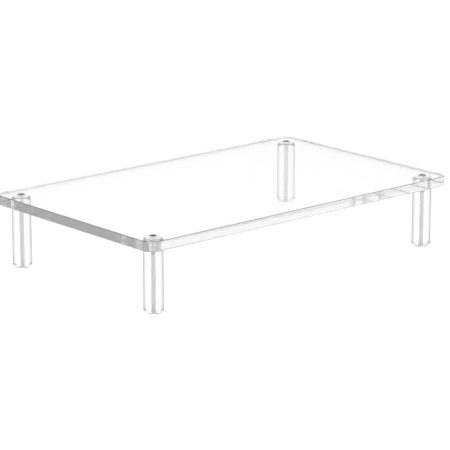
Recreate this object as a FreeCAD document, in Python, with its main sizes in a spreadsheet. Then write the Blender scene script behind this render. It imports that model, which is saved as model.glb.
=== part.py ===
"""Clear acrylic monitor riser: a thick rounded shelf on four rods, each held by one countersunk screw.

Frame: the origin is on the desk, under the middle of the shelf. X runs along the shelf's width, Y
along its depth with the front at -Y, and Z up. All sizes are millimetres.
"""

import FreeCAD, Part

import math
import os

import Sketcher

SHEET = "Dimensions"

# One row of the sheet each: alias, value, meaning.
DIMENSIONS = [
    ("shelf_width", 508.0, "shelf, left to right"),
    ("shelf_depth", 314.0, "shelf, front to back"),
    ("shelf_thickness", 12.7, "shelf, acrylic sheet"),
    ("corner_radius", 16.0, "shelf's corners, in plan"),
    ("edge_bevel", 0.6, "polished bevel round both faces of the shelf"),
    ("hole_diameter", 5.5, "screw's clearance hole in the shelf"),
    ("leg_inset", 25.0, "leg's axis to the two nearest sides of the shelf"),
    ("leg_diameter", 25.0, "leg, acrylic rod"),
    ("leg_length", 80.8, "leg, from foot pad to shelf"),
    ("leg_crown", 3.0, "rounding of the leg's upper end"),
    ("leg_rounding", 1.8, "rounding of the leg's lower end"),
    ("bore_diameter", 4.3, "tapping drill, right through the leg"),
    ("bore_mouth", 0.5, "bevel at the bore's upper mouth"),
    ("tapped_diameter", 5.1, "root of the thread tapped in the leg"),
    ("tapped_turns", 15, "turns tapped in the leg"),
    ("thread_pitch", 0.8, "M5 coarse thread"),
    ("thread_flat", 0.08, "half the flat at the root of the screw's thread"),
    ("thread_play", 0.03, "gap along the axis between the two threads"),
    ("screw_length", 22.0, "screw, over its head"),
    ("screw_diameter", 4.95, "crest of the screw's thread"),
    ("core_diameter", 4.02, "root of the screw's thread"),
    ("turns_in_leg", 13, "turns of the screw cut below the shelf, past its tip"),
    ("turns_in_shelf", 10, "turns of the screw inside the shelf"),
    ("head_diameter", 9.3, "countersunk head, 90 degree cone"),
    ("head_rim", 0.3, "straight rim of the head"),
    ("head_sink", 0.15, "head's top below the shelf's face"),
    ("socket_width", 3.0, "hexagon socket, across its flats"),
    ("socket_depth", 1.9, "hexagon socket"),
    ("pad_diameter", 19.0, "foot pad, silicone"),
    ("pad_thickness", 1.5, "foot pad"),
    ("pad_rounding", 0.5, "rounding of the foot pad's lower edge"),
]
ALIASES = [alias for alias, _, _ in DIMENSIONS]

# Heights above the desk that several parts share.
SHELF_UNDERSIDE = "( pad_thickness + leg_length )"
HEAD_TOP = f"( {SHELF_UNDERSIDE} + shelf_thickness - head_sink )"

# Each corner's name, and its side of the Y and X planes.
CORNERS = [
    ("front_left", -1, -1),
    ("front_right", 1, -1),
    ("back_left", -1, 1),
    ("back_right", 1, 1),
]

CUTTER_REACH = 0.2  # how far a cutter starts outside the surface that it cuts
FLANK = "tan(30 deg)"  # slope of a 60 degree thread's flank


def make_sheet(doc):
    """The spreadsheet that drives every size, one alias to a row."""
    sheet = doc.addObject("Spreadsheet::Sheet", SHEET)
    for row, (alias, value, meaning) in enumerate(DIMENSIONS, start=1):
        sheet.set(f"A{row}", alias)
        sheet.set(f"B{row}", str(value))
        sheet.set(f"C{row}", meaning)
        sheet.setAlias(f"B{row}", alias)
    doc.recompute()


def bind(item, prop, formula):
    """Bind a property to a formula of the sheet's aliases, written with spaces between its words."""
    words = [f"{SHEET}.{word}" if word in ALIASES else word for word in formula.split()]
    item.setExpression(prop, " ".join(words))


def new_body(doc, label, side_x=0, side_y=0):
    """An empty body on the desk: at the middle, or on a leg's axis at one corner."""
    body = doc.addObject("PartDesign::Body", label)
    body.Label = label
    if side_x:
        bind(body, "Placement.Base.x", f"{side_x} * ( shelf_width / 2 - leg_inset )")
        bind(body, "Placement.Base.y", f"{side_y} * ( shelf_depth / 2 - leg_inset )")
    return body


def attach(body, feature, role, height="0"):
    """Attach a feature to one of its body's origin planes, at a height above that plane."""
    plane = next(item for item in body.Origin.OriginFeatures if item.Role == role)
    feature.AttachmentSupport = [(plane, "")]
    feature.MapMode = "FlatFace"
    bind(feature, "AttachmentOffset.Base.z", height)


def new_sketch(body, name, role="XY_Plane", height="0"):
    sketch = body.newObject("Sketcher::SketchObject", name)
    attach(body, sketch, role, height)
    return sketch


def constrain(sketch, name, formula, *constraint):
    """Add a named constraint whose value is bound to a formula."""
    index = sketch.addConstraint(Sketcher.Constraint(*constraint, 1.0))
    sketch.renameConstraint(index, name)
    bind(sketch, f"Constraints.{name}", formula)


def draw_circle(sketch, name, diameter, centre=None):
    """A circle on the sketch's origin, or round a centre given as an (x, y) pair of formulas."""
    shape = Part.Circle(FreeCAD.Vector(0, 0, 0), FreeCAD.Vector(0, 0, 1), 1.0)
    circle = sketch.addGeometry(shape, False)
    if centre is None:
        sketch.addConstraint(Sketcher.Constraint("Coincident", circle, 3, -1, 1))
    else:
        constrain(sketch, f"{name}_x", centre[0], "DistanceX", -1, 1, circle, 3)
        constrain(sketch, f"{name}_y", centre[1], "DistanceY", -1, 1, circle, 3)
    constrain(sketch, name, diameter, "Diameter", circle)


def draw_polygon(sketch, points):
    """A closed outline through (x, y) pairs of formulas, where an x of "0" is on the vertical axis."""
    count = len(points)
    turn = 2 * math.pi / count
    seeds = [
        FreeCAD.Vector(math.cos(turn * i), math.sin(turn * i), 0) for i in range(count)
    ]
    lines = []
    for i in range(count):
        line = Part.LineSegment(seeds[i], seeds[(i + 1) % count])
        lines.append(sketch.addGeometry(line, False))
    for i, (x, y) in enumerate(points):
        before = lines[i - 1]
        sketch.addConstraint(Sketcher.Constraint("Coincident", before, 2, lines[i], 1))
        if x == "0":
            sketch.addConstraint(Sketcher.Constraint("PointOnObject", lines[i], 1, -2))
        else:
            constrain(sketch, f"x{i}", x, "DistanceX", -1, 1, lines[i], 1)
        constrain(sketch, f"y{i}", y, "DistanceY", -1, 1, lines[i], 1)


def add_pad(body, name, sketch, length):
    pad = body.newObject("PartDesign::Pad", name)
    pad.Profile = sketch
    bind(pad, "Length", length)
    body.Document.recompute()
    return pad


def edges_where(feature, test):
    """Names of a feature's edges that pass a test."""
    return [f"Edge{i}" for i, edge in enumerate(feature.Shape.Edges, start=1) if test(edge)]


def is_ring(diameter, height):
    """A test for the round edge of one diameter at one height above the body's desk plane."""

    def test(edge):
        round_edge = isinstance(edge.Curve, Part.Circle)
        at_height = abs(edge.BoundBox.Center.z - height) < 1e-4
        return round_edge and at_height and abs(edge.Curve.Radius - diameter / 2) < 1e-4

    return test


def add_fillet(body, name, base, test, radius):
    fillet = body.newObject("PartDesign::Fillet", name)
    fillet.Base = (base, edges_where(base, test))
    bind(fillet, "Radius", radius)
    body.Document.recompute()
    return fillet


def add_chamfer(body, name, base, test, size):
    chamfer = body.newObject("PartDesign::Chamfer", name)
    chamfer.Base = (base, edges_where(base, test))
    bind(chamfer, "Size", size)
    body.Document.recompute()
    return chamfer


def cut_thread(body, base, points, turns):
    """Cut a right-hand thread upwards, with a cutter drawn in the XZ plane at its lowest turn."""
    cutter = new_sketch(body, f"{body.Label}_cutter", "XZ_Plane")
    draw_polygon(cutter, points)
    body.Document.recompute()
    thread = body.newObject("PartDesign::SubtractiveHelix", f"{body.Label}_thread")
    thread.Profile = cutter
    thread.ReferenceAxis = (cutter, ["V_Axis"])
    thread.Mode = "pitch-height-angle"
    bind(thread, "Pitch", "thread_pitch")
    bind(thread, "Height", f"thread_pitch * {turns}")
    thread.Angle = 0
    thread.LeftHanded = False
    thread.Reversed = False
    body.Document.recompute()
    require_cut(thread, base)
    return thread


def require_cut(feature, base):
    """Stop if a cutting feature took nothing off its base."""
    if feature.Shape.Volume >= base.Shape.Volume - 1e-3:
        raise RuntimeError(f"{feature.Name} cuts nothing")


def cutter_outline(inner, outer, half_inner, half_outer, height):
    """A thread cutter's four corners: half its width at an inner and an outer radius."""
    return [
        (inner, f"{height} - {half_inner}"),
        (outer, f"{height} - {half_outer}"),
        (outer, f"{height} + {half_outer}"),
        (inner, f"{height} + {half_inner}"),
    ]


def make_shelf(doc, size):
    """The shelf: a sheet with rounded corners, bevelled edges and four countersunk holes."""
    body = new_body(doc, "shelf")
    outline = new_sketch(body, "shelf_outline", height=SHELF_UNDERSIDE)
    left, right = "-1 * shelf_width / 2", "shelf_width / 2"
    front, back = "-1 * shelf_depth / 2", "shelf_depth / 2"
    draw_polygon(outline, [(left, front), (right, front), (right, back), (left, back)])
    sheet = add_pad(body, "shelf_sheet", outline, "shelf_thickness")

    def upright(edge):
        return edge.BoundBox.ZLength > size["shelf_thickness"] / 2

    def level(edge):
        return edge.BoundBox.ZLength < 1e-4

    corners = add_fillet(body, "shelf_corners", sheet, upright, "corner_radius")
    bevel = add_chamfer(body, "shelf_bevel", corners, level, "edge_bevel")

    centres = new_sketch(
        body, "shelf_hole_centres", height=f"{SHELF_UNDERSIDE} + shelf_thickness"
    )
    for name, side_x, side_y in CORNERS:
        x = f"{side_x} * ( shelf_width / 2 - leg_inset )"
        y = f"{side_y} * ( shelf_depth / 2 - leg_inset )"
        draw_circle(centres, name, "hole_diameter", (x, y))
    doc.recompute()
    holes = body.newObject("PartDesign::Hole", "shelf_holes")
    holes.Profile = centres
    holes.DepthType = "ThroughAll"
    holes.HoleCutType = "Countersink"
    holes.HoleCutCustomValues = True
    holes.HoleCutCountersinkAngle = 90
    bind(holes, "Diameter", "hole_diameter")
    # The cone carries on past the sunken head's rim, up to the shelf's face.
    bind(holes, "HoleCutDiameter", "head_diameter + 2 * ( head_sink + head_rim )")
    doc.recompute()
    require_cut(holes, bevel)
    return body


def make_leg(doc, size, corner, side_x, side_y):
    """A leg: rod drilled right through, tapped at the top, rounded at both ends."""
    label = f"leg_{corner}"
    body = new_body(doc, label, side_x, side_y)
    section = new_sketch(body, f"{label}_section", height="pad_thickness")
    draw_circle(section, "outside", "leg_diameter")
    draw_circle(section, "bore", "bore_diameter")
    rod = add_pad(body, f"{label}_rod", section, "leg_length")

    bottom = size["pad_thickness"]
    top = bottom + size["leg_length"]
    outside = size["leg_diameter"]
    feet = is_ring(outside, bottom)
    rounded = add_fillet(body, f"{label}_rounding", rod, feet, "leg_rounding")
    rim = is_ring(outside, top)
    crowned = add_fillet(body, f"{label}_crown", rounded, rim, "leg_crown")
    mouth = is_ring(size["bore_diameter"], top)
    opened = add_chamfer(body, f"{label}_mouth", crowned, mouth, "bore_mouth")

    # The leg's groove is the screw's ridge made wider by the play, and carried on to the tap's root.
    inner = f"( bore_diameter / 2 - {CUTTER_REACH} )"
    crest = "thread_pitch / 2 - thread_flat + thread_play"
    root = f"{crest} - {FLANK} * ( tapped_diameter - core_diameter ) / 2"
    widest = f"{root} + {FLANK} * ( tapped_diameter / 2 - {inner} )"
    start = f"{SHELF_UNDERSIDE} + thread_pitch / 2 - thread_pitch * tapped_turns"
    outline = cutter_outline(inner, "tapped_diameter / 2", f"( {widest} )", f"( {root} )", start)
    cut_thread(body, opened, outline, "tapped_turns")
    return body


def make_screw(doc, corner, side_x, side_y):
    """A countersunk M5 screw with a hexagon socket, its thread in phase with the leg's."""
    label = f"screw_{corner}"
    body = new_body(doc, label, side_x, side_y)
    profile = new_sketch(body, f"{label}_profile", "XZ_Plane")
    rim = f"{HEAD_TOP} - head_rim"
    neck = f"{rim} - ( head_diameter - screw_diameter ) / 2"
    tip = f"{HEAD_TOP} - screw_length"
    tip_bevel = "( screw_diameter - core_diameter ) / 2"
    outline = [
        ("0", HEAD_TOP),
        ("head_diameter / 2", HEAD_TOP),
        ("head_diameter / 2", rim),
        ("screw_diameter / 2", neck),
        ("screw_diameter / 2", f"{tip} + {tip_bevel}"),
        ("core_diameter / 2", tip),
        ("0", tip),
    ]
    draw_polygon(profile, outline)
    doc.recompute()
    blank = body.newObject("PartDesign::Revolution", f"{label}_blank")
    blank.Profile = profile
    blank.ReferenceAxis = (profile, ["V_Axis"])
    blank.Angle = 360
    doc.recompute()

    socket = body.newObject("PartDesign::SubtractivePrism", f"{label}_socket")
    attach(body, socket, "XY_Plane", f"{HEAD_TOP} - socket_depth")
    socket.Polygon = 6
    bind(socket, "Circumradius", "socket_width / sqrt(3)")
    bind(socket, "Height", "socket_depth")
    doc.recompute()
    require_cut(socket, blank)

    outer = f"( screw_diameter / 2 + {CUTTER_REACH} )"
    widest = f"( thread_flat + {FLANK} * ( {outer} - core_diameter / 2 ) )"
    start = f"{SHELF_UNDERSIDE} - thread_pitch * turns_in_leg"
    outline = cutter_outline("core_diameter / 2", outer, "thread_flat", widest, start)
    cut_thread(body, socket, outline, "( turns_in_leg + turns_in_shelf )")
    return body


def make_pad(doc, size, corner, side_x, side_y):
    """A silicone foot pad, stuck under a leg."""
    label = f"foot_pad_{corner}"
    body = new_body(doc, label, side_x, side_y)
    section = new_sketch(body, f"{label}_section")
    draw_circle(section, "outside", "pad_diameter")
    disc = add_pad(body, f"{label}_disc", section, "pad_thickness")
    lower = is_ring(size["pad_diameter"], 0)
    add_fillet(body, f"{label}_rounding", disc, lower, "pad_rounding")
    return body


def check(doc, bodies):
    """Stop if any object failed to compute or any part isn't one valid solid."""
    for item in doc.Objects:
        if {"Invalid", "Error"} & set(item.State):
            raise RuntimeError(f"{item.Name} failed: {item.State}")
    for body in bodies:
        shape = body.Shape
        if shape.isNull() or not shape.isValid() or len(shape.Solids) != 1:
            raise RuntimeError(f"{body.Label} isn't one valid solid")


def main():
    doc = FreeCAD.newDocument("monitor_riser")
    make_sheet(doc)
    size = {alias: value for alias, value, _ in DIMENSIONS}
    bodies = [make_shelf(doc, size)]
    for corner in CORNERS:
        bodies.append(make_leg(doc, size, *corner))
        bodies.append(make_screw(doc, *corner))
        bodies.append(make_pad(doc, size, *corner))
    doc.recompute()
    check(doc, bodies)
    os.makedirs("parts", exist_ok=True)
    for body in bodies:
        body.Shape.exportStep(f"parts/{body.Label}.step")
        box = body.Shape.BoundBox
        print(f"{body.Label}: {body.Shape.Volume:.1f} mm3, z {box.ZMin:.2f} to {box.ZMax:.2f}")


main()
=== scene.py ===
"""Looks of the clear acrylic monitor riser: polished shelf and rods, steel screws, soft feet."""

import math

import bmesh
import bpy
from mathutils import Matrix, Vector


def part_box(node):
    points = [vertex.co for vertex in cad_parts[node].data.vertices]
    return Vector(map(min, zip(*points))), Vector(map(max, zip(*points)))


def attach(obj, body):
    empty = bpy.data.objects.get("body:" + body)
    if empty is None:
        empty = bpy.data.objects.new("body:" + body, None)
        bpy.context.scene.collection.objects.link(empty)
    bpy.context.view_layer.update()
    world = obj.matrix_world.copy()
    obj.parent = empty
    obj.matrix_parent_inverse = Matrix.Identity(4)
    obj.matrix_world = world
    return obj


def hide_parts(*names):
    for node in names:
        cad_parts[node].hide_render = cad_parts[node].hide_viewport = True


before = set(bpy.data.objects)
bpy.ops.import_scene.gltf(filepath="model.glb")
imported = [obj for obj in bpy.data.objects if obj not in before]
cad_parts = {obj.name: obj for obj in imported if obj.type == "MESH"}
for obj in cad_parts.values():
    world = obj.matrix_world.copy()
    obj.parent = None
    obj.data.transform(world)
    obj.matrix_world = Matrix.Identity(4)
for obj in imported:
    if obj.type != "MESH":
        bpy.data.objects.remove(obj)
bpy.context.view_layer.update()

MM = 0.001

# Sizes that the CAD model gives the parts, repeated here because a box can't tell them.
CORNER_RADIUS = 16.0 * MM
EDGE_BREAK = 0.6 * MM
HOLE_RADIUS = 2.75 * MM
HEAD_SINK = 0.15 * MM
HEAD_RIM = 0.3 * MM
SOCKET_WIDTH = 3.0 * MM
SOCKET_DEPTH = 1.9 * MM
LEG_ROUNDING = 1.8 * MM  # of a leg's lower end
LEG_CROWN = 3.0 * MM  # of a leg's upper end
BORE_RADIUS = 2.15 * MM
BORE_MOUTH = 0.5 * MM
TAP_RADIUS = 2.55 * MM
TAPPED_DEPTH = 12.0 * MM
PITCH = 0.8 * MM
CREST_RADIUS = 2.475 * MM
CORE_RADIUS = 2.01 * MM
NECK_LENGTH = 1.6 * MM
ROOT_FLAT = 0.08 * MM
THREAD_PLAY = 0.03 * MM
FLANK = math.tan(math.radians(30))
PAD_ROUNDING = 0.5 * MM

# Small breaks, hollows and gaps that the looks add of their own.
TIP_RADIUS = 0.86 * CORE_RADIUS
TIP_BEVEL = 0.25 * MM
HEAD_BREAK = 0.08 * MM
SOCKET_CONE = 0.35 * MM
PAD_LIP = 0.15 * MM
AIR_GAP = 0.03 * MM  # film of air between two clear parts that touch

ROD_SEGMENTS = 96
SCREW_SEGMENTS = 48  # a multiple of six, so that the socket's corners fall on points
CORNER_SEGMENTS = 20
ARC_SEGMENTS = 6
LIP_SEGMENTS = 3
SHARP_ANGLE = math.radians(32)

# The finishes of a piece's faces, as places in its list of materials.
PLAIN, CUT, SIDE, RIM = range(4)

# Where the camera stands round the object, in degrees and metres, and its lens in millimetres.
AZIMUTH, ELEVATION, DISTANCE = -41.17, 15.02, 3.0
TARGET_HEIGHT = 0.0406
LENS, SENSOR = 184.8, 36.0
CLIP_END = 100.0

# The studio's walls begin, and reach full strength, at these cosines to the camera's level axis.
WALL_START, WALL_FULL = 0.15, 0.65
WORLD_SIDES, WORLD_WALLS = 0.3, 0.88
FLOOR_HALF, FLOOR_DROP = 12.0, 0.02 * MM
FLOOR_TONE, FLOOR_ROUGHNESS, FLOOR_IOR = 0.78, 0.5, 2.8
SOFT_POWER, SOFT_SIZE, SOFT_HEIGHT = 440.0, 10.0, 5.0
CARD_GAP, CARD_REACH = 8.0 * MM, 3.3 * MM
SIDE_CARD, BACK_CARD = 0.38, 1.05
BOUNCES = 40

# A tint of 1 lets all light through. The edge, arris and bore tints are painted shade, which greys
# the shelf's clear edges, draws dark lines along its bevels and greys the bores. A finish tinted by
# slant changes between START and END, where
# 0 is a surface that light crosses face on and 1 one that it grazes, and has its SHADE from END on:
# painted shade that darkens the rods' outlines and the crowns' shoulders, and painted light that
# lightens the bores' edges.
ACRYLIC_IOR, SILICONE_IOR = 1.49, 1.41
POLISH_TINT, EDGE_PAINTED_SHADE, BORE_PAINTED_SHADE, HOLE_TINT, ARRIS_PAINTED_SHADE = 0.995, 0.91, 0.62, 0.97, 0.09
RIM_START, RIM_END, RIM_SHADE = 0.2, 0.65, 0.2
CROWN_START, CROWN_END, CROWN_SHADE = 0.08, 0.3, 0.003
BORE_START, BORE_END, BORE_PAINTED_LIGHT = 0.3, 0.9, 1.0
POLISH_HAZE, EDGE_HAZE = (0.0, 0.01), (0.08, 0.14)
NOISE_LOW, NOISE_HIGH = 0.35, 0.65  # nearly all of a noise's values lie between these

CORNERS = ("front_left", "front_right", "back_left", "back_right")


class Skin:
    """Points and faces of one piece, built ring by ring."""

    def __init__(self):
        self.points = []
        self.faces = []
        self.finishes = []

    def point(self, place):
        self.points.append(tuple(place))
        return len(self.points) - 1

    def ring(self, places):
        return [self.point(place) for place in places]

    def face(self, corners, finish=PLAIN):
        """A face, less any corner that is there twice; nothing if fewer than three are left."""
        kept = list(dict.fromkeys(corners))
        if len(kept) > 2:
            self.faces.append(kept)
            self.finishes.append(finish)

    def join(self, first, second, finish=PLAIN):
        """A band of faces from one ring to the next. It faces outwards where they go up the
        outside, and upwards where they close in over the top."""
        for i in range(len(first)):
            after = (i + 1) % len(first)
            self.face((first[i], first[after], second[after], second[i]), finish)

    def chain(self, rings, finish=PLAIN):
        for first, second in zip(rings, rings[1:]):
            self.join(first, second, finish)

    def cap(self, ring, centre, finish=PLAIN):
        """Close a ring on a centre point that comes after it."""
        middle = self.point(centre)
        for i, corner in enumerate(ring):
            self.face((corner, ring[(i + 1) % len(ring)], middle), finish)

    def thread(self, low, high, span, rows, phase, inward, finish=PLAIN):
        """A helical surface between two rings. rows are (height within a turn, radius) pairs, and
        phase is the height of a turn's zero on the +X side. The thread fades out over half a turn
        at each end of its span, towards the radius of the ring there."""
        count = len(low)
        bottom, top = span
        axis = sum((Vector(self.points[i]) for i in low), Vector()) / count
        low_radius = (Vector(self.points[low[0]]) - axis).length
        high_radius = (Vector(self.points[high[0]]) - Vector((axis.x, axis.y, top))).length
        # Whole turns past both ends of the span, so that every column of the grid crosses it.
        first_turn = math.floor((bottom - phase) / PITCH) - 2
        last_turn = math.ceil((top - phase) / PITCH) + 1
        fade = PITCH / 2
        grid = []
        for turn in range(first_turn, last_turn + 1):
            for rise, radius in rows:
                line = []
                for j in range(count):
                    height = phase + rise + PITCH * (turn + j / count)
                    if height <= bottom:
                        line.append(low[j])
                    elif height >= top:
                        line.append(high[j])
                    else:
                        above = min(1.0, (height - bottom) / fade)
                        below = min(1.0, (top - height) / fade)
                        reach = low_radius + (radius - low_radius) * above
                        reach = high_radius + (reach - high_radius) * below
                        angle = math.tau * j / count
                        side = Vector((math.cos(angle), math.sin(angle), 0)) * reach
                        line.append(self.point((axis.x + side.x, axis.y + side.y, height)))
                grid.append(line)
        for i in range(len(grid) - 1):
            for j in range(count):
                if j + 1 < count:
                    right = (grid[i][j + 1], grid[i + 1][j + 1])
                elif i + 1 + len(rows) < len(grid):
                    # A turn ends where the next one begins.
                    right = (grid[i + len(rows)][0], grid[i + 1 + len(rows)][0])
                else:
                    continue
                corners = (grid[i][j], right[0], right[1], grid[i + 1][j])
                self.face(corners[::-1] if inward else corners, finish)


def circle(centre, radius, height, count):
    """Points round a circle, anticlockwise from the +X side."""
    turns = (math.tau * i / count for i in range(count))
    return [
        (centre[0] + radius * math.cos(a), centre[1] + radius * math.sin(a), height)
        for a in turns
    ]


def hexagon(centre, width, height, count):
    """Points round a hexagon of a width across its flats, with its corners among them."""
    sixth = math.tau / 6
    points = []
    for i in range(count):
        angle = math.tau * i / count
        radius = width / 2 / math.cos(angle % sixth - sixth / 2)
        x = centre[0] + radius * math.cos(angle)
        y = centre[1] + radius * math.sin(angle)
        points.append((x, y, height))
    return points


def quarter(start, end, segments=ARC_SEGMENTS):
    """(radius, height) points of a convex quarter circle from one such point to another."""
    points = []
    rising_out = (end[0] - start[0]) * (end[1] - start[1]) > 0
    for i in range(segments + 1):
        turn = math.pi / 2 * i / segments
        if rising_out:
            step = (math.sin(turn), 1 - math.cos(turn))
        else:
            step = (1 - math.cos(turn), math.sin(turn))
        points.append(
            (
                start[0] + (end[0] - start[0]) * step[0],
                start[1] + (end[1] - start[1]) * step[1],
            )
        )
    return points


def rounded_outline(low, high, inset, height):
    """Points round a rectangle with arcs at its corners, anticlockwise, moved in by an inset."""
    radius = CORNER_RADIUS - inset
    xs = (high.x - CORNER_RADIUS, low.x + CORNER_RADIUS)
    ys = (high.y - CORNER_RADIUS, low.y + CORNER_RADIUS)
    centres = [(xs[0], ys[0]), (xs[1], ys[0]), (xs[1], ys[1]), (xs[0], ys[1])]
    points = []
    for corner, (x, y) in enumerate(centres):
        for i in range(CORNER_SEGMENTS + 1):
            angle = math.pi / 2 * (corner + i / CORNER_SEGMENTS)
            points.append((x + radius * math.cos(angle), y + radius * math.sin(angle), height))
    return points


def make_piece(name, skin, materials, node, slot):
    """A shown piece from a skin, with crisp edges, that takes a CAD node's place on the body."""
    mesh = bpy.data.meshes.new(name)
    mesh.from_pydata(skin.points, [], skin.faces)
    for material in materials:
        mesh.materials.append(material)
    for polygon, finish in zip(mesh.polygons, skin.finishes):
        polygon.material_index = finish
    mesh.shade_smooth()
    mesh.set_sharp_from_angle(angle=SHARP_ANGLE)
    piece = bpy.data.objects.new(name, mesh)
    bpy.context.scene.collection.objects.link(piece)
    weighted = piece.modifiers.new("weighted_normals", "WEIGHTED_NORMAL")
    weighted.keep_sharp = True
    if slot.startswith("clear_acrylic"):
        # Clear acrylic leaves the light on the floor alone.
        piece.visible_shadow = False
        piece.visible_diffuse = False
    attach(piece, "root")
    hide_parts(node)
    return piece


def leg_axis(corner):
    """The (x, y) of a leg's axis, on which its screw and its pad also lie."""
    low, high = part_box(f"leg_{corner}")
    return ((low.x + high.x) / 2, (low.y + high.y) / 2)


def fill_between(skin, outer, holes):
    """Fill the flat face between an outer ring and the rings of its holes."""
    bm = bmesh.new()
    made = {}
    edges = []
    for ring in [outer, *holes]:
        corners = [bm.verts.new(skin.points[i]) for i in ring]
        made.update(zip(corners, ring))
        for a, b in zip(corners, corners[1:] + corners[:1]):
            edges.append(bm.edges.new((a, b)))
    bmesh.ops.triangle_fill(bm, use_beauty=True, use_dissolve=False, edges=edges)
    for face in bm.faces:
        skin.face([made[v] for v in face.verts])
    bm.free()


def close_normals(piece):
    """Turn every face of a closed piece outwards."""
    bm = bmesh.new()
    bm.from_mesh(piece.data)
    bmesh.ops.recalc_face_normals(bm, faces=bm.faces)
    bm.to_mesh(piece.data)
    bm.free()


def make_shelf(clear, drilled, polished, scraped_and_shaded):
    """The shelf: a rounded plate with bevels round both faces and four countersunk holes."""
    low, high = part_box("shelf")
    skin = Skin()
    side = [(EDGE_BREAK, low.z), (0, low.z + EDGE_BREAK)]
    side += [(0, high.z - EDGE_BREAK), (EDGE_BREAK, high.z)]
    rings = [skin.ring(rounded_outline(low, high, inset, z)) for inset, z in side]
    skin.chain(rings[:2], RIM)
    skin.chain(rings[1:3], SIDE)
    skin.chain(rings[2:], RIM)
    tops, bottoms = [], []
    for corner in CORNERS:
        axis = leg_axis(corner)
        head_low, head_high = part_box(f"screw_{corner}")
        head_radius = (head_high.x - head_low.x) / 2
        cone_top = head_radius + HEAD_SINK + HEAD_RIM + AIR_GAP
        hole = [
            (cone_top, high.z),
            (HOLE_RADIUS, high.z - (cone_top - HOLE_RADIUS)),
            (HOLE_RADIUS, low.z),
        ]
        wall = [skin.ring(circle(axis, r, z, ROD_SEGMENTS)) for r, z in hole]
        skin.chain(wall, CUT)
        tops.append(wall[0])
        bottoms.append(wall[-1])
    fill_between(skin, rings[-1], tops)
    fill_between(skin, rings[0], bottoms)
    # The shelf's polished edges carry painted shade, and its scraped bevels painted dark lines.
    finishes = [clear, drilled, polished, scraped_and_shaded]
    piece = make_piece("shelf_clear", skin, finishes, "shelf", "clear_acrylic_sheet")
    close_normals(piece)


def make_leg(corner, clear, drilled, side_with_painted_outline, crown_with_painted_shade):
    """A rod, drilled right through, tapped at the top and rounded at both ends."""
    low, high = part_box(f"leg_{corner}")
    axis = leg_axis(corner)
    radius = (high.x - low.x) / 2
    bottom = low.z + AIR_GAP
    top = high.z - AIR_GAP
    skin = Skin()

    def ring(r, z):
        return skin.ring(circle(axis, r, z, ROD_SEGMENTS))

    base = ring(BORE_RADIUS, bottom)
    profile = quarter((radius - LEG_ROUNDING, bottom), (radius, bottom + LEG_ROUNDING))
    foot = [ring(r, z) for r, z in profile]
    profile = quarter((radius, top - LEG_CROWN), (radius - LEG_CROWN, top))
    shoulder = [ring(r, z) for r, z in profile]
    lip = ring(BORE_RADIUS + BORE_MOUTH, top)
    skin.join(base, foot[0])
    skin.chain(foot)
    skin.join(foot[-1], shoulder[0], SIDE)
    skin.chain(shoulder, RIM)
    skin.join(shoulder[-1], lip)
    mouth = ring(BORE_RADIUS, top - BORE_MOUTH)
    thread_end = top - TAPPED_DEPTH
    end = ring(BORE_RADIUS, thread_end)
    skin.join(lip, mouth, CUT)
    half_root = PITCH / 2 - ROOT_FLAT + THREAD_PLAY - FLANK * (TAP_RADIUS - CORE_RADIUS)
    half_mouth = half_root + FLANK * (TAP_RADIUS - BORE_RADIUS)
    rows = [
        (-half_mouth, BORE_RADIUS),
        (-half_root, TAP_RADIUS),
        (half_root, TAP_RADIUS),
        (half_mouth, BORE_RADIUS),
    ]
    phase = high.z + PITCH / 2
    skin.thread(end, mouth, (thread_end, top - BORE_MOUTH), rows, phase, True, CUT)
    skin.join(end, base, CUT)
    name = f"leg_{corner}_clear"
    # The leg's side carries painted dark outlines, and its crown painted shade.
    finishes = [clear, drilled, side_with_painted_outline, crown_with_painted_shade]
    make_piece(name, skin, finishes, f"leg_{corner}", "clear_acrylic_rod")


def make_screw(corner, painted_shade_steel, painted_light_steel):
    """A countersunk screw, its thread in phase with its leg's."""
    low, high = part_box(f"screw_{corner}")
    axis = leg_axis(corner)
    radius = (high.x - low.x) / 2
    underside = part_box("shelf")[0].z
    skin = Skin()

    def ring(r, z):
        return skin.ring(circle(axis, r, z, SCREW_SEGMENTS))

    rim = high.z - HEAD_RIM
    neck = rim - (radius - CREST_RADIUS)
    thread_top = neck - NECK_LENGTH
    tip = ring(TIP_RADIUS, low.z)
    start = ring(CORE_RADIUS, low.z + TIP_BEVEL)
    skin.cap(tip[::-1], (axis[0], axis[1], low.z), CUT)
    skin.join(tip, start, CUT)
    end = ring(CREST_RADIUS, thread_top)
    half_crest = PITCH / 2 - ROOT_FLAT - FLANK * (CREST_RADIUS - CORE_RADIUS)
    half_base = PITCH / 2 - ROOT_FLAT
    rows = [
        (-half_base, CORE_RADIUS),
        (-half_crest, CREST_RADIUS),
        (half_crest, CREST_RADIUS),
        (half_base, CORE_RADIUS),
    ]
    span = (low.z + TIP_BEVEL, thread_top)
    skin.thread(start, end, span, rows, underside + PITCH / 2, False, CUT)
    below_top = high.z - HEAD_BREAK
    head = [end, ring(CREST_RADIUS, neck), ring(radius, rim)]
    head += [ring(radius, below_top), ring(radius - HEAD_BREAK, high.z)]
    mouth = SOCKET_WIDTH + 2 * HEAD_BREAK
    floor = high.z - SOCKET_DEPTH
    socket = [(mouth, high.z), (SOCKET_WIDTH, below_top), (SOCKET_WIDTH, floor)]
    head += [skin.ring(hexagon(axis, width, z, SCREW_SEGMENTS)) for width, z in socket]
    skin.chain(head[:3], CUT)
    skin.chain(head[2:])
    skin.cap(head[-1], (axis[0], axis[1], floor - SOCKET_CONE))
    name = f"screw_{corner}_steel"
    # The head's rim, top and socket take the painted-shade steel, and the tip, thread, neck and
    # countersunk cone the painted-light steel.
    finishes = [painted_shade_steel, painted_light_steel]
    make_piece(name, skin, finishes, f"screw_{corner}", "stainless_steel")


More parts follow.
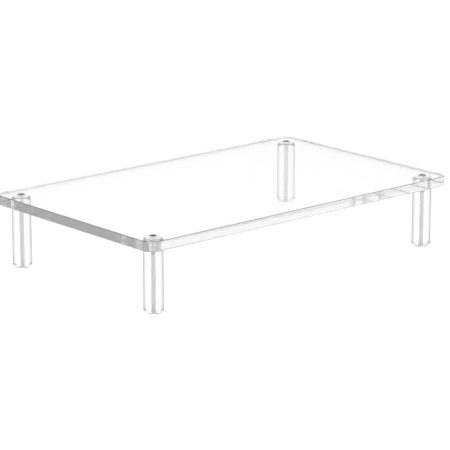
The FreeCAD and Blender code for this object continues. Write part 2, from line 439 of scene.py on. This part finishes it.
def make_pad(corner, rubber):
    """A foot pad: a disc with its lower edge well rounded."""
    low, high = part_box(f"foot_pad_{corner}")
    axis = leg_axis(corner)
    radius = (high.x - low.x) / 2
    skin = Skin()
    profile = quarter((radius - PAD_ROUNDING, low.z), (radius, low.z + PAD_ROUNDING))
    profile += quarter((radius, high.z - PAD_LIP), (radius - PAD_LIP, high.z), LIP_SEGMENTS)
    rings = [skin.ring(circle(axis, r, z, ROD_SEGMENTS)) for r, z in profile]
    skin.chain(rings)
    skin.cap(rings[0][::-1], (axis[0], axis[1], low.z))
    skin.cap(rings[-1], (axis[0], axis[1], high.z))
    name = f"foot_pad_{corner}_silicone"
    make_piece(name, skin, [rubber], f"foot_pad_{corner}", "clear_silicone")


def new_material(name):
    """A material with a bare principled shader: (the material, its node tree, the shader)."""
    material = bpy.data.materials.new(name)
    material.use_nodes = True
    tree = material.node_tree
    return material, tree, tree.nodes["Principled BSDF"]


def noise(tree, scale, detail, stretch=(1, 1, 1)):
    """Noise in the object's own coordinates, one value a point."""
    place = tree.nodes.new("ShaderNodeTexCoord")
    mapping = tree.nodes.new("ShaderNodeMapping")
    mapping.inputs["Scale"].default_value = stretch
    texture = tree.nodes.new("ShaderNodeTexNoise")
    texture.inputs["Scale"].default_value = scale
    texture.inputs["Detail"].default_value = detail
    tree.links.new(place.outputs["Object"], mapping.inputs["Vector"])
    tree.links.new(mapping.outputs["Vector"], texture.inputs["Vector"])
    return texture.outputs["Fac"]


def spread(tree, value, low, high):
    """A noise's value, spread between two limits."""
    node = tree.nodes.new("ShaderNodeMapRange")
    node.inputs["From Min"].default_value = NOISE_LOW
    node.inputs["From Max"].default_value = NOISE_HIGH
    node.inputs["To Min"].default_value = low
    node.inputs["To Max"].default_value = high
    tree.links.new(value, node.inputs["Value"])
    return node.outputs["Result"]


def bump(tree, shader, height, strength, distance):
    """Fine relief on a shader, from a height."""
    node = tree.nodes.new("ShaderNodeBump")
    node.inputs["Strength"].default_value = strength
    node.inputs["Distance"].default_value = distance
    tree.links.new(height, node.inputs["Height"])
    tree.links.new(node.outputs["Normal"], shader.inputs["Normal"])


def clear_acrylic(name, tint=POLISH_TINT, haze=POLISH_HAZE):
    """Polished cast acrylic: all but flawless, with a slowly varying trace of haze."""
    material, tree, shader = new_material(name)
    shader.inputs["Base Color"].default_value = (tint, tint, tint, 1)
    shader.inputs["Transmission Weight"].default_value = 1.0
    shader.inputs["IOR"].default_value = ACRYLIC_IOR
    cloud = noise(tree, scale=60.0, detail=4.0)
    tree.links.new(spread(tree, cloud, *haze), shader.inputs["Roughness"])
    return material


def paint_light_and_shade_by_slant(material, start, end, face_on, slanting):
    """Painted light and shade for one skin: one tint where light crosses it face on, and another
    where it crosses at a slant.
    """
    tree = material.node_tree
    weight = tree.nodes.new("ShaderNodeLayerWeight")
    weight.inputs["Blend"].default_value = 0.5
    ramp = tree.nodes.new("ShaderNodeValToRGB")
    ramp.color_ramp.elements[0].position = start
    ramp.color_ramp.elements[0].color = (face_on, face_on, face_on, 1)
    ramp.color_ramp.elements[1].position = end
    ramp.color_ramp.elements[1].color = (slanting, slanting, slanting, 1)
    tree.links.new(weight.outputs["Facing"], ramp.inputs["Fac"])
    tree.links.new(ramp.outputs["Color"], tree.nodes["Principled BSDF"].inputs["Base Color"])


def frosted_acrylic(name, tint, roughness, clearness):
    """Acrylic as a drill or a scraper leaves it: frosted, with fine marks."""
    material, tree, shader = new_material(name)
    shader.inputs["Base Color"].default_value = (tint, tint, tint, 1)
    shader.inputs["Transmission Weight"].default_value = clearness
    shader.inputs["IOR"].default_value = ACRYLIC_IOR
    grain = noise(tree, scale=900.0, detail=4.0, stretch=(1, 1, 4))
    tree.links.new(spread(tree, grain, *roughness), shader.inputs["Roughness"])
    bump(tree, shader, grain, strength=0.03, distance=0.2 * MM)
    return material


def stainless_steel(name, dark, light):
    """Satin stainless steel, with fine scratches and a little unevenness in its tone."""
    material, tree, shader = new_material(name)
    shader.inputs["Metallic"].default_value = 1.0
    tone = tree.nodes.new("ShaderNodeValToRGB")
    tone.color_ramp.elements[0].color = (dark, dark, dark, 1)
    tone.color_ramp.elements[1].color = (light, light, light, 1)
    grain = noise(tree, scale=700.0, detail=5.0)
    tree.links.new(grain, tone.inputs["Fac"])
    tree.links.new(tone.outputs["Color"], shader.inputs["Base Color"])
    tree.links.new(spread(tree, grain, low=0.22, high=0.38), shader.inputs["Roughness"])
    scratches = noise(tree, scale=2500.0, detail=3.0)
    bump(tree, shader, scratches, strength=0.15, distance=0.1 * MM)
    return material


def clear_silicone(name):
    """Clear silicone rubber: slightly milky, with a soft skin."""
    material, tree, shader = new_material(name)
    shader.inputs["Base Color"].default_value = (0.9, 0.92, 0.92, 1)
    shader.inputs["Transmission Weight"].default_value = 0.9
    shader.inputs["IOR"].default_value = SILICONE_IOR
    grain = noise(tree, scale=400.0, detail=3.0)
    tree.links.new(spread(tree, grain, low=0.25, high=0.4), shader.inputs["Roughness"])
    bump(tree, shader, grain, strength=0.2, distance=0.3 * MM)
    return material


def look_from(azimuth, elevation, distance, target):
    """A place at a distance from a target. Azimuth 0 looks along +Y, and 90 along -X."""
    a, e = math.radians(azimuth), math.radians(elevation)
    back = Vector((math.sin(a) * math.cos(e), -math.cos(a) * math.cos(e), math.sin(e)))
    return target + back * distance


def aim(thing, target):
    """Turn a camera towards a target, upright."""
    thing.rotation_euler = (target - thing.location).to_track_quat("-Z", "Y").to_euler()


def make_camera():
    """A long lens on the front left side, a little above the shelf."""
    data = bpy.data.cameras.new("camera")
    data.lens = LENS
    data.sensor_width = SENSOR
    data.clip_end = CLIP_END
    camera = bpy.data.objects.new("camera", data)
    bpy.context.scene.collection.objects.link(camera)
    target = Vector((0, 0, TARGET_HEIGHT))
    camera.location = look_from(AZIMUTH, ELEVATION, DISTANCE, target)
    aim(camera, target)
    bpy.context.scene.camera = camera


def make_floor():
    """A wide white floor, a hair below the feet."""
    mesh = bpy.data.meshes.new("floor")
    half = FLOOR_HALF
    corners = [(-half, -half, 0), (half, -half, 0), (half, half, 0), (-half, half, 0)]
    mesh.from_pydata(corners, [], [(0, 1, 2, 3)])
    floor = bpy.data.objects.new("floor", mesh)
    floor.location.z = -FLOOR_DROP
    material, _, shader = new_material("floor_white")
    shader.inputs["Base Color"].default_value = (FLOOR_TONE, FLOOR_TONE, FLOOR_TONE, 1)
    shader.inputs["Roughness"].default_value = FLOOR_ROUGHNESS
    shader.inputs["IOR"].default_value = FLOOR_IOR
    mesh.materials.append(material)
    bpy.context.scene.collection.objects.link(floor)


def make_world():
    """A plain studio: bright walls behind the object and behind the camera, and dimmer sides."""
    world = bpy.data.worlds.new("studio")
    world.use_nodes = True
    tree = world.node_tree
    place = tree.nodes.new("ShaderNodeTexCoord")
    facing = tree.nodes.new("ShaderNodeVectorMath")
    facing.operation = "DOT_PRODUCT"
    turn = math.radians(AZIMUTH)
    facing.inputs[1].default_value = (-math.sin(turn), math.cos(turn), 0)
    # Ahead and behind count alike.
    either_way = tree.nodes.new("ShaderNodeMath")
    either_way.operation = "ABSOLUTE"
    ramp = tree.nodes.new("ShaderNodeMapRange")
    ramp.interpolation_type = "SMOOTHSTEP"
    ramp.inputs["From Min"].default_value = WALL_START
    ramp.inputs["From Max"].default_value = WALL_FULL
    ramp.inputs["To Min"].default_value = WORLD_SIDES
    ramp.inputs["To Max"].default_value = WORLD_WALLS
    background = tree.nodes["Background"]
    background.inputs["Color"].default_value = (1, 1, 1, 1)
    tree.links.new(place.outputs["Generated"], facing.inputs[0])
    tree.links.new(facing.outputs["Value"], either_way.inputs[0])
    tree.links.new(either_way.outputs["Value"], ramp.inputs["Value"])
    tree.links.new(ramp.outputs["Result"], background.inputs["Strength"])
    bpy.context.scene.world = world


def make_softbox():
    """A soft light straight above the object."""
    data = bpy.data.lights.new("softbox", "AREA")
    data.shape = "SQUARE"
    data.size = SOFT_SIZE
    data.energy = SOFT_POWER
    light = bpy.data.objects.new("softbox", data)
    light.location = (0, 0, SOFT_HEIGHT)
    bpy.context.scene.collection.objects.link(light)


def make_card(name, corners, level):
    """A plain glowing card that shows in the clear edges of the shelf and nowhere else."""
    mesh = bpy.data.meshes.new(name)
    mesh.from_pydata(corners, [], [(0, 1, 2, 3)])
    card = bpy.data.objects.new(name, mesh)
    material, _, shader = new_material(name)
    shader.inputs["Base Color"].default_value = (0, 0, 0, 1)
    shader.inputs["Specular IOR Level"].default_value = 0.0
    shader.inputs["Roughness"].default_value = 1.0
    shader.inputs["Emission Color"].default_value = (1, 1, 1, 1)
    shader.inputs["Emission Strength"].default_value = level
    mesh.materials.append(material)
    card.visible_camera = False
    card.visible_diffuse = False
    card.visible_shadow = False
    bpy.context.scene.collection.objects.link(card)


def make_cards():
    """Upright cards beside the shelf's right and back edges. The clear left edge looks through the
    shelf at the grey one, and the clear front edge at the white one."""
    low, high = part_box("shelf")
    x, y = high.x + CARD_GAP, high.y + CARD_GAP
    bottom, top = low.z - CARD_REACH, high.z + CARD_REACH
    side = [(x, low.y, bottom), (x, y, bottom), (x, y, top), (x, low.y, top)]
    back = [(low.x, y, bottom), (x, y, bottom), (x, y, top), (low.x, y, top)]
    make_card("side_card", side, SIDE_CARD)
    make_card("back_card", back, BACK_CARD)


def set_render():
    """Plain display transform, and enough bounces for light to cross many clear faces."""
    scene = bpy.context.scene
    scene.view_settings.view_transform = "Standard"
    scene.cycles.max_bounces = BOUNCES
    scene.cycles.transmission_bounces = BOUNCES
    scene.cycles.glossy_bounces = BOUNCES
    scene.cycles.transparent_max_bounces = BOUNCES


clear_sheet = clear_acrylic("clear_acrylic_sheet")
rod_with_painted_outline = clear_acrylic("clear_acrylic_rod")
# Painted shade: the rods' sides darken towards their outlines, by slant.
paint_light_and_shade_by_slant(rod_with_painted_outline, RIM_START, RIM_END, 1.0, RIM_SHADE)
crown = clear_acrylic("rounded_crown_painted_shade")
# Painted shade: the rounded crowns go nearly black where they slant, which darkens the shoulders of
# each leg's top.
paint_light_and_shade_by_slant(crown, CROWN_START, CROWN_END, 1.0, CROWN_SHADE)
# The polished edges are tinted grey by painted shade.
edge = clear_acrylic("polished_edge_painted_shade", EDGE_PAINTED_SHADE, EDGE_HAZE)
# The drilled bores are frosted, with painted shade that greys them and painted light that lightens
# them towards their edges, by slant.
drilled_rod_painted_light_and_shade = frosted_acrylic("drilled_rod_painted_light_and_shade", BORE_PAINTED_SHADE, roughness=(0.3, 0.5), clearness=0.5)
paint_light_and_shade_by_slant(drilled_rod_painted_light_and_shade, BORE_START, BORE_END, BORE_PAINTED_SHADE, BORE_PAINTED_LIGHT)
drilled_sheet = frosted_acrylic("drilled_sheet", HOLE_TINT, roughness=(0.2, 0.4), clearness=0.8)
# The scraped arrises are frosted and painted nearly black, which draws painted dark lines along the
# shelf's bevels.
arris = frosted_acrylic("arris_scraped_and_painted_dark", ARRIS_PAINTED_SHADE, roughness=(0.2, 0.35), clearness=0.2)
# Lit and shaded copies of one steel: the heads are painted shade, nearly black, and the threads
# painted light, nearly white.
head_steel_painted_shade = stainless_steel("stainless_steel_head_painted_shade", dark=0.03, light=0.07)
thread_steel_painted_light = stainless_steel("stainless_steel_thread_painted_light", dark=0.8, light=0.95)
silicone = clear_silicone("clear_silicone")

make_shelf(clear_sheet, drilled_sheet, edge, arris)
for corner in CORNERS:
    make_leg(corner, clear_sheet, drilled_rod_painted_light_and_shade, rod_with_painted_outline, crown)
    make_screw(corner, head_steel_painted_shade, thread_steel_painted_light)
    make_pad(corner, silicone)

make_floor()
make_world()
make_softbox()
make_cards()
make_camera()
set_render()
